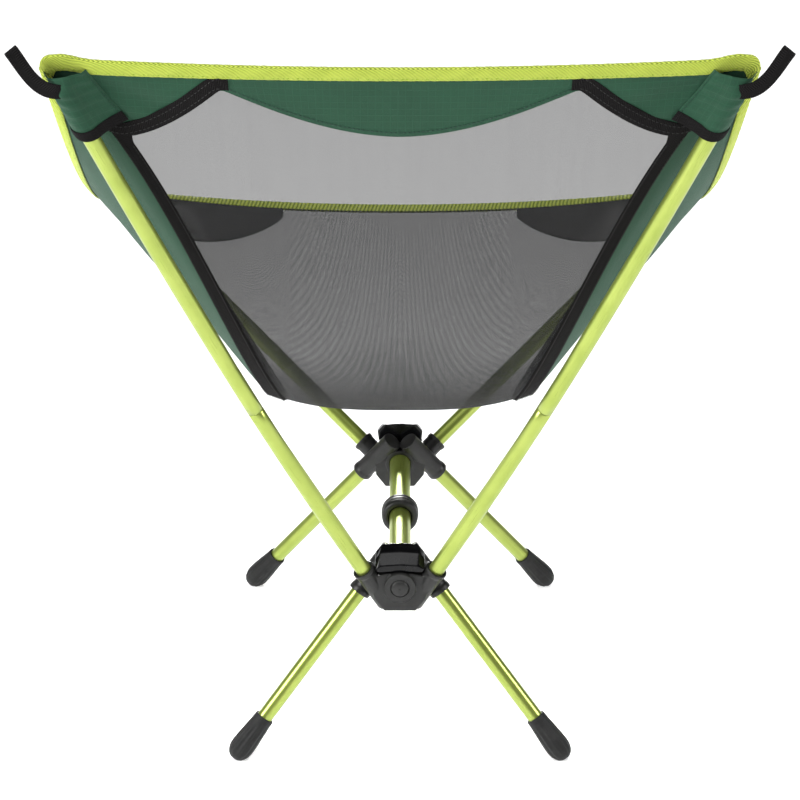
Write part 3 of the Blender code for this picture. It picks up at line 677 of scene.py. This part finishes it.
def cloth_area(points):
    """The area of one side of a grid, two triangles to a cell."""
    first = np.cross(points[1:, :-1] - points[:-1, :-1], points[:-1, 1:] - points[:-1, :-1])
    second = np.cross(points[1:, :-1] - points[1:, 1:], points[:-1, 1:] - points[1:, 1:])
    return float((np.linalg.norm(first, axis=-1) + np.linalg.norm(second, axis=-1)).sum() / 2)


def two_sided(points, offset):
    """Vertices and faces of a thin closed solid: a grid moved by offset to either side, joined at its rim."""
    tall, wide = points.shape[:2]
    count = tall * wide
    faces = grid_faces(tall, wide) + grid_faces(tall, wide, count, flip=True)
    rim = [*range(wide), *range(2 * wide - 1, count, wide)]
    rim += [*range(count - 2, count - wide - 1, -1), *range(count - 2 * wide, 0, -wide)]
    for first, second in zip(rim, rim[1:] + rim[:1]):
        faces.append([second, first, first + count, second + count])
    return np.concatenate([(points + offset).reshape(-1, 3), (points - offset).reshape(-1, 3)]), faces


def cloth(name, s, v, look, slot, nodes, thickness=0.0, lift=0.0, drape=None, points=None):
    """A sheet over a grid of the sling's surface, or over points of its own.

    It is open where it has no thickness, else a thin closed solid with thinner edges. lift and drape stand
    it off the tight surface; without drape it follows the side panels' folds.
    """
    normal = outward(s, v)
    if points is None:
        away = np.broadcast_to(lift + (folds(s, v) if drape is None else drape), s.shape)
        points = surface(s, v) + normal * away[..., None]
    uvs = cloth_uvs(points)
    corners = uvs.reshape(-1, 2)
    if thickness:
        half = np.full(s.shape, thickness * 0.25)
        half[1:-1, 1:-1] = thickness * 0.5
        vertices, faces = two_sided(points, normal * half[..., None])
        corners = np.concatenate([corners] * 2)
    else:
        vertices, faces = points.reshape(-1, 3), grid_faces(*s.shape)
    piece = finish_mesh(name, vertices, faces, corners, look, "sling")
    if nodes:
        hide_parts(*nodes)
    piece["flat"] = [float(np.ptp(uvs[..., 0])), float(np.ptp(uvs[..., 1])), cloth_area(points)]
    return piece


def declare(piece):
    *sizes, area = piece["flat"]
    width, length = (max(size, NARROWEST) * CUT_SHARE + 0.0003 for size in sizes)
    area = min(area * CUT_SHARE**2, width * length)
    area = max(area, LEAST_AREA_SHARE * width * length)
    del piece["flat"]


def stitches(name, path, normals, look, slot, pitch=0.0034, length=0.0023, radius=0.00028):
    """A row of short raised stitches along a path that lies on cloth."""
    path = np.asarray(path)
    places = lengths(path)
    count = max(2, int(places[-1] / pitch))
    starts = (np.arange(count) + 0.5) * places[-1] / count
    step = 0.001
    centre = sample(path, places, starts)
    tangent = unit(sample(path, places, starts + step) - sample(path, places, starts - step))
    normal = unit(sample(np.asarray(normals), places, starts))
    side = unit(np.cross(tangent, normal))
    # Each ring's place in shares of the length, its size and its height in shares of the radius
    rings = ((-0.50, 0.35, -0.6), (-0.36, 0.95, 0.2), (0.0, 1.0, 0.5), (0.36, 0.95, 0.2), (0.50, 0.35, -0.6))
    sides = 6
    points = []
    for share, size, height in rings:
        middle = centre + tangent * (share * length) + normal * (height * radius)
        for k in range(sides):
            angle = 2 * math.pi * k / sides
            points.append(middle + (side * math.cos(angle) + normal * math.sin(angle)) * (size * radius))
    points = np.stack(points, 1)
    block = len(rings) * sides
    faces = []
    pattern = grid_faces(len(rings), sides, close_columns=True)
    caps = [list(range(sides))[::-1], [block - sides + k for k in range(sides)]]
    for number in range(count):
        for face in pattern + caps:
            faces.append([index + number * block for index in face])
    vertices = points.reshape(-1, 3)
    return finish_mesh(name, vertices, faces, vertices[:, :2], look, "sling")


def line_on(s, v, lift):
    """Points and normals of a line on the sling's outer side."""
    s, v = np.broadcast_arrays(np.asarray(s, float), np.asarray(v, float))
    normal = outward(s, v)
    away = (lift + folds(s, v))[..., None]
    return surface(s, v) + normal * away, normal


# ---- sling panels ----


def inner_border(v):
    """The mesh's edge, under the seam tape."""
    return seam_at(v) - TAPE_HALF + UNDERLAP


def seam_to_seam(s):
    return top_seam(s) - UNDERLAP, front_seam(s) + UNDERLAP


def panels():
    s, v = spread(lambda v: (-inner_border(v), inner_border(v)), seam_to_seam, 97, 161)
    mesh = cloth("mesh_panel", s, v, MESH, "grey_mesh", ["seat_mesh"])
    declare(mesh)
    half = ARCH_END + 0.012
    s, v = spread(lambda v: (-half, half), lambda s: (TOP_EDGE - UNDERLAP, top_seam(s) + 0.001), 97, 17)
    arch = cloth("arch_cloth", s, v, GREEN, "green_polyester", ["arch_panel"], 0.0010, 0.0004)
    declare(arch)
    hem = line_on(s[0], top_seam(s[0]) - 0.0030, 0.0011)
    stitches("arch_hem_stitches", *hem, GREEN_THREAD, "green_polyester")
    for side_name, side in SIDES:
        s, v = spread(lambda v: (seam_at(v) + TAPE_HALF - UNDERLAP, SIDE_REACH), seam_to_seam, 41, 141)
        wing = cloth(f"side_cloth_{side_name}", s * side, v, GREEN, "green_polyester",
                     [f"side_panel_{side_name}"], 0.0008)
        declare(wing)
        s, v = spread(
            lambda v: (ARCH_END + 0.015, SIDE_REACH),
            lambda s: (TOP_EDGE - UNDERLAP, np.maximum(top_seam(s) - 0.008, TOP_EDGE)), 49, 33)
        corner = cloth(f"back_corner_cloth_{side_name}", s * side, v, GREEN, "green_polyester",
                       [f"back_corner_patch_{side_name}"], 0.0009, 0.0004, creases(s, v))
        declare(corner)
        s, v = spread(
            lambda v: (FRONT_PATCH_START, SIDE_REACH),
            lambda s: (front_seam(s) - 0.001, FRONT_EDGE + UNDERLAP), 49, 25)
        front = cloth(f"front_corner_cloth_{side_name}", s * side, v, DARK, "black_webbing",
                      [f"front_corner_patch_{side_name}"], 0.0009, 0.0003)
        declare(front)


def creases(s, v):
    """Shallow creases that fan out from the pole's pocket over the back corner patch."""
    reach = np.clip((s - 0.56) / 0.12, 0, 1) * np.clip((0.93 - s) / 0.10, 0, 1)
    return 0.0005 * np.sin(150 * v + 14 * s) * reach


def tapes():
    """The long tapes over the seams, and the curved ones along the back corner patches' lower edges."""
    half_width = 0.0068
    for side_name, side in SIDES:
        v = 0.1030 + (0.9020 - 0.1030) * np.linspace(0, 1, 181)[:, None]
        a = np.linspace(-1, 1, 9)[None, :]
        s = seam_at(v) + TAPE_HALF * a * 1.03
        v = np.broadcast_to(v, s.shape)
        crown = 0.0002 * (1 - a**2)
        long_tape = cloth(f"seam_tape_cloth_{side_name}", s * side, v, TAPE, "black_webbing",
                          [f"seam_tape_{side_name}"], 0.0020, 0.0002, crown)
        declare(long_tape)
        a = np.linspace(0, 1, 61)[None, :]
        b = np.linspace(-1, 1, 9)[:, None]
        s = 0.478 + (SIDE_EDGE + 0.002 - 0.478) * a
        middle = smooth_line(top_seam(np.maximum(s, ARCH_END + 0.001))[0] - 0.0070)
        slope = np.gradient(middle, s[0]) * UNIT_V / UNIT_S
        lean = np.sqrt(1 + slope**2)
        s_grid = (s + b * half_width / UNIT_S * slope / lean)[::-1]
        v_grid = np.maximum(middle - b * half_width / UNIT_V / lean, TOP_EDGE - 0.004)[::-1]
        corner = cloth(f"corner_tape_cloth_{side_name}", s_grid * side, v_grid, TAPE, "black_webbing",
                       [f"corner_tape_{side_name}"], 0.0014, 0.0010, 0.0002 * (1 - b**2))
        declare(corner)


def smooth_line(values):
    """Takes the corners out of a sampled line."""
    kernel = np.array([1, 4, 6, 4, 1]) / 16
    for _ in range(3):
        before = values[:1] * 2 - values[2:0:-1]
        after = values[-1:] * 2 - values[-2:-4:-1]
        padded = np.concatenate([before, values, after])
        values = np.convolve(padded, kernel, "valid")
    return values


def mirrored(half):
    """One half of a binding's cross-section, turned over to the other side of the cloth."""
    return tuple((share, -away) for share, away in half)


def bindings():
    """The lime bindings. Their cross-section runs from the covered panel (share 1) to the free edge (0)."""
    outer = ((1.06, 0.0016), (0.98, 0.0020), (0.66, 0.0022), (0.33, 0.0022), (0.06, 0.0020), (-0.04, 0.0014),
             (-0.09, 0.0005))
    inner = ((1.06, 0.0009), (0.98, 0.0012), (0.66, 0.0014), (0.33, 0.0014), (0.06, 0.0012), (0.01, 0.0007),
             (0.00, 0.0003))
    wrap = outer + mirrored(outer[::-1]) + mirrored(inner) + inner[::-1]
    low = 1 - CORNER_SHARE
    angle = np.linspace(0, math.pi / 2, 14)[1:]
    straight = np.linspace(-low, low, 217)
    ends = low + CORNER_SHARE * np.sin(angle)
    s = np.concatenate([-ends[::-1], straight, ends])
    drop = np.concatenate([(1 - np.cos(angle))[::-1], 0 * straight, 1 - np.cos(angle)])
    step = 0.01
    for name, end, cover in (("top", 0, TOP_COVER), ("front", 1, FRONT_COVER)):
        rate = np.linalg.norm(surface(s, abs(end - step)) - surface(s, end), axis=-1) / step
        deep = (cover + 0.0018 * np.abs(s) ** 2) / rate
        round_v = CORNER / rate

        def place(share, deep=deep, round_v=round_v, end=end):
            inside = np.clip((np.abs(s) - low) / CORNER_SHARE, 0, 1)
            across = np.sign(s) * (np.abs(s) - inside * CORNER_SHARE * 0.75 * np.clip(share, 0, 1))
            inwards = drop * round_v + share * deep * (1 - drop) + share * drop * 0.2 * deep
            return across, np.abs(end - inwards)

        band(f"{name}_edge_binding", wrap, s, place, f"{name}_binding")
    v = np.linspace(0.030, 0.992, 201)
    for side_name, side in SIDES:
        def place(share, side=side):
            return side * (1 - (1 - SIDE_COVER) * share), v

        band(f"side_edge_binding_{side_name}", wrap, v, place, f"side_binding_{side_name}")


def band(name, wrap, stations, place, node):
    """A tape folded over an edge.

    place gives the line (s, v) at a share of the tape's height, and wrap the tape's cross-section: pairs of
    that share and of the distance off the surface.
    """
    rows = []
    for share, away in wrap:
        s, v = np.broadcast_arrays(*place(share))
        pucker = 1 + 0.10 * np.sin(np.arange(len(stations)) * 1.7 + share * 3)
        rows.append(surface(s, v) + outward(s, v) * (away * pucker)[..., None])
    points = np.stack(rows, 1)
    tall, wide = points.shape[:2]
    last = (tall - 1) * wide
    faces = grid_faces(tall, wide, close_columns=True)
    faces += [list(range(wide))[::-1], [last + k for k in range(wide)]]
    piece = finish_mesh(name, points.reshape(-1, 3), faces, cloth_uvs(points).reshape(-1, 2), EDGING, "sling")
    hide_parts(node)
    stitch_share, stitch_lift = 0.88, 0.0019
    s, v = np.broadcast_arrays(*place(stitch_share))
    normals = outward(s, v)
    stitches(f"{name}_stitches", surface(s, v) + normals * stitch_lift, normals, LIME_THREAD, "lime_binding",
             pitch=0.0036, length=0.0024)


# ---- pockets and loops ----


def back_pockets():
    """The pocket over each back pole's tip: a patch sewn round three sides, which the pole pushes out."""
    mouth_row = 52
    seams = (("inner", 2), ("outer", 46))
    for side_name, side in SIDES:
        t = np.linspace(0, 1, 61)[:, None]
        w = np.linspace(0, 1, 49)[None, :]
        bend = 0.012 * np.sin(math.pi * t)
        inner_s = 0.868 - 0.096 * t + bend
        inner_v = 0.0150 + 0.0640 * t**1.1
        outer_s = 0.992 - 0.060 * t
        outer_v = 0.0330 + 0.0930 * t
        s = inner_s + (outer_s - inner_s) * w
        v = inner_v + (outer_v - inner_v) * w
        base = surface(s * side, v)
        normal = outward(s * side, v)
        tip = back_point(side, BACK_RISE)
        axis = unit(tip - back_point(side, BACK_RISE - 0.08))
        from_tip = base - tip
        along = from_tip @ axis
        radial = from_tip - along[..., None] * axis
        # How far the pole stands off the panel and lies to the side of each point
        clear = -(radial * normal).sum(-1)
        sideways = np.linalg.norm(radial + clear[..., None] * normal, axis=-1)
        fade = np.exp(-(np.maximum(along, 0) / 0.016) ** 2)
        height = (np.maximum(clear, 0.004) + 0.0080) * fade
        shoulder = np.clip(1 - (sideways / 0.0125) ** 2, 0, 1) ** 0.5
        tent = np.exp(-((sideways / 0.0150) ** 2))
        border = np.clip(np.minimum(w, 1 - w) / 0.10, 0, 1) ** 0.6
        rise = height * np.maximum(shoulder * 0.98, tent * 0.92) * border + 0.0016
        rise = rise + 0.0006 * np.sin(34 * t + 9 * w) * border * (1 - t)
        points = base + normal * rise[..., None]
        pocket = cloth(f"back_pocket_cloth_{side_name}", s * side, v, GREEN, "green_polyester",
                       [f"back_pocket_{side_name}"], 0.0009, points=points)
        declare(pocket)
        normals = unit(np.cross(np.gradient(points, axis=1), np.gradient(points, axis=0)) * side)
        mouth = cloth(f"pocket_mouth_tape_{side_name}", s[mouth_row:] * side, v[mouth_row:], TAPE,
                      "black_webbing", [], 0.0012, points=points[mouth_row:] + normals[mouth_row:] * 0.0008)
        declare(mouth)
        for name, column in seams:
            stitches(f"pocket_{name}_stitches_{side_name}", points[:, column] + normals[:, column] * 0.0006,
                     normals[:, column], GREEN_THREAD, "green_polyester", 0.0028, 0.0020, 0.00024)


def front_pockets():
    """The crinkled black sleeves over the front poles' tips, sewn to the undersides of the front corners."""
    # Each ring's rise along the pole, half-width and half-depth
    profile = ((0.150, 0.0190, 0.0092), (0.154, 0.0195, 0.0091), (0.158, 0.0198, 0.0090),
               (0.163, 0.0200, 0.0089), (0.168, 0.0198, 0.0088), (0.173, 0.0192, 0.0087),
               (0.178, 0.0182, 0.0086), (0.183, 0.0170, 0.0085), (0.188, 0.0152, 0.0082),
               (0.1915, 0.0135, 0.0072), (0.1935, 0.0105, 0.0050))
    bore, deepest, sides = 0.0074, 8, 48
    angles = np.arange(sides) * 2 * math.pi / sides
    corner = np.meshgrid(np.linspace(0.72, 0.995, 60), np.linspace(0.92, 0.998, 60))
    for side_name, side in SIDES:
        axis = unit(front_point(side, 0.18) - front_point(side, 0.10))
        thin = unit(np.array([0, 0, 1.0]) - axis * axis[2])
        wide = np.cross(thin, axis)
        over, up = wide * np.cos(angles)[:, None], thin * np.sin(angles)[:, None]
        rows = []
        panel = surface(side * corner[0], corner[1]).reshape(-1, 3)
        for number, (rise, width, depth) in enumerate(profile):
            crinkle = 1 + 0.05 * np.sin(angles * 5 + number * 1.9)
            crinkle = crinkle + 0.035 * np.sin(angles * 11 - number * 2.7)
            centre = front_point(side, rise)
            ring = centre + (over * width + up * depth) * crinkle[:, None]
            toward = panel[np.linalg.norm(panel - centre, axis=-1).argmin()] - centre
            square = unit(toward - axis * (toward @ axis))
            sewn = np.clip((rise - 0.160) / 0.020, 0, 1)
            apex = centre + unit(toward) * (depth + (np.linalg.norm(toward) - 0.0015 - depth) * sewn)
            facing = unit(ring - centre) @ square
            pull = np.clip((facing - 0.45) / 0.55, 0, 1)[:, None]
            rows.append(ring + (apex - ring) * pull * (sewn > 0))
        rows += [front_point(side, rise) + (over + up) * bore for rise, _, _ in profile[deepest::-1]]
        points = np.stack(rows)
        faces = grid_faces(len(rows), sides, close_rows=True, close_columns=True)
        piece = finish_mesh(f"front_pocket_cloth_{side_name}", points.reshape(-1, 3), faces,
                            cloth_uvs(points).reshape(-1, 2), DARK, "sling")
        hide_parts(f"front_pocket_{side_name}")


def pull_loops():
    """A folded loop of webbing that comes out of a slit at each top corner."""
    route = np.array([
        (0.2380, 0.2640, 0.6262), (0.2455, 0.2716, 0.6262), (0.2530, 0.2716, 0.6272),
        (0.2600, 0.2704, 0.6308), (0.2660, 0.2697, 0.6368), (0.2710, 0.2692, 0.6440),
        (0.2755, 0.2690, 0.6515), (0.2785, 0.2690, 0.6560)])
    fine = sample(route, np.arange(len(route)), np.linspace(0, len(route) - 1, 40))
    fine = np.stack([smooth_line(fine[:, k]) for k in range(3)], -1)
    half_width, half_thickness = 0.0052, 0.0006
    for side_name, side in SIDES:
        middle = fine * (side, 1, 1) + (0, RIDGE.y, 0)
        tangent = unit(np.gradient(middle, axis=0))
        first = unit(np.array([0.0, 1.0, 0.0]) - tangent * tangent[:, 1:2])
        second = np.cross(tangent, first)
        twist = np.linspace(0.0, 0.5, len(middle))[:, None] * side
        flat = first * np.cos(twist) + second * np.sin(twist)
        across = second * np.cos(twist) - first * np.sin(twist)
        gap = np.linspace(0.0008, 0.0011, len(middle))[:, None]
        tip = middle[-1] + tangent[-1] * 0.0012
        centre = np.concatenate([middle + flat * gap, tip[None], (middle - flat * gap)[::-1]])
        facing = np.concatenate([flat, tangent[-1:], -flat[::-1]])
        sideways = np.concatenate([across, across[-1:], across[::-1]])
        a = np.linspace(-1, 1, 9)[None, :, None]
        points = centre[:, None] + sideways[:, None] * a * half_width
        vertices, faces = two_sided(points, facing[:, None] * half_thickness)
        uvs = np.concatenate([cloth_uvs(points).reshape(-1, 2)] * 2)
        piece = finish_mesh(f"webbing_loop_{side_name}", vertices, faces, uvs, TAPE, "sling")
        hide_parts(f"pull_loop_{side_name}")


def bar_tacks():
    """A pale zigzag tack on each long tape under the seat, and stitches down both edges of every tape."""
    for side_name, side in SIDES:
        v = np.linspace(0.118, 0.895, 160)
        for name, edge in (("inner", -0.82), ("outer", 0.82)):
            line, normals = line_on(side * (seam_at(v) + TAPE_HALF * edge), v, 0.0014)
            stitches(f"tape_{name}_stitches_{side_name}", line, normals, DARK_THREAD, "black_webbing")
        turns = 19
        v = 0.548 + 0.012 * (np.arange(turns) % 2)
        s = seam_at(0.552) + TAPE_HALF * (-1.0 + 2.6 * np.linspace(0, 1, turns))
        line, normals = line_on(side * s, v, 0.0018)
        stitches(f"bar_tack_{side_name}", line, normals, PALE_THREAD, "black_webbing",
                 0.0024, 0.0026, 0.00022)
        s = np.linspace(0.50, 0.93, 60)
        for name, shift in (("upper", -0.0120), ("lower", -0.0022)):
            v = smooth_line(top_seam(s) + shift)
            line, normals = line_on(side * s, np.maximum(v, TOP_EDGE), 0.0019)
            stitches(f"corner_{name}_stitches_{side_name}", line, normals, DARK_THREAD, "black_webbing")


# ---- camera, floor and light ----


def place_camera():
    """The fitted camera: behind the chair, level from side to side and looking down at it."""
    camera_data = bpy.data.cameras.new("camera")
    camera_data.lens = 137.84
    camera_data.sensor_width = 36
    camera_data.shift_y = 0.01744
    camera_data.clip_end = 50
    camera = bpy.data.objects.new("camera", camera_data)
    camera.location = (0, RIDGE.y + 2.3696, 1.3389)
    camera.rotation_euler = (math.radians(65.24), 0, math.pi)
    bpy.context.scene.collection.objects.link(camera)
    bpy.context.scene.camera = camera


def lay_floor():
    """A pale floor that glows a little, so that it fades into the background."""
    floor_mesh = bpy.data.meshes.new("floor")
    reach = 12.0
    corners = [(-reach, -reach, 0), (reach, -reach, 0), (reach, reach, 0), (-reach, reach, 0)]
    floor_mesh.from_pydata(corners, [], [(0, 1, 2, 3)])
    floor = bpy.data.objects.new("floor", floor_mesh)
    paper = Graph("pale_floor", (0.93, 0.93, 0.93), 0.9)
    paper.set("Emission Color", (1, 1, 1, 1))
    paper.set("Emission Strength", 0.42)
    floor_mesh.materials.append(paper.material)
    bpy.context.scene.collection.objects.link(floor)


def surround():
    """A studio that is bright on the left of the picture and overhead, and dark on the right."""
    bright_side = Vector((0.80, -0.20, 0.56))
    dark_at, bright_at, dark, bright = -0.35, 0.90, 0.06, 1.05
    world = bpy.data.worlds.new("studio")
    world.use_nodes = True
    nodes, links = world.node_tree.nodes, world.node_tree.links
    where = nodes.new("ShaderNodeTexCoord")
    toward = nodes.new("ShaderNodeVectorMath")
    toward.operation = "DOT_PRODUCT"
    toward.inputs[1].default_value = bright_side
    ramp = nodes.new("ShaderNodeMapRange")
    for socket, value in zip(list(ramp.inputs)[1:5], (dark_at, bright_at, dark, bright)):
        socket.default_value = value
    links.new(where.outputs["Generated"], toward.inputs[0])
    links.new(toward.outputs["Value"], ramp.inputs[0])
    links.new(ramp.outputs[0], nodes["Background"].inputs["Strength"])
    bpy.context.scene.world = world


def hang_lights():
    # Name, kind, place, the height it looks at, its size (degrees for the sun), spread in degrees and energy
    for name, kind, place, height, size, spread_angle, power in (
        ("overhead", "SUN", (0.5, 0.9, 2.6), 0.0, 60, None, 2.15),
        ("key", "AREA", (1.7, 1.0, 1.1), 0.40, 0.7, 180, 34),
        ("edge", "AREA", (-1.9, 0.6, 1.1), 0.35, 0.6, 180, 20),
        ("under", "AREA", (0.1, -1.7, 0.58), 0.16, 0.5, 30, 2.2),
    ):
        light_data = bpy.data.lights.new(name, kind)
        if kind == "SUN":
            light_data.angle = math.radians(size)
        else:
            light_data.size = size
            light_data.spread = math.radians(spread_angle)
        light_data.energy = power
        light = bpy.data.objects.new(name, light_data)
        light.location = place
        light.rotation_euler = (Vector(place) - Vector((0, 0, height))).to_track_quat("Z", "Y").to_euler()
        bpy.context.scene.collection.objects.link(light)


place_camera()
lay_floor()
surround()
hang_lights()
bpy.context.scene.view_settings.view_transform = "Standard"
frame_pieces()
panels()
tapes()
bindings()
back_pockets()
front_pockets()
pull_loops()
bar_tacks()
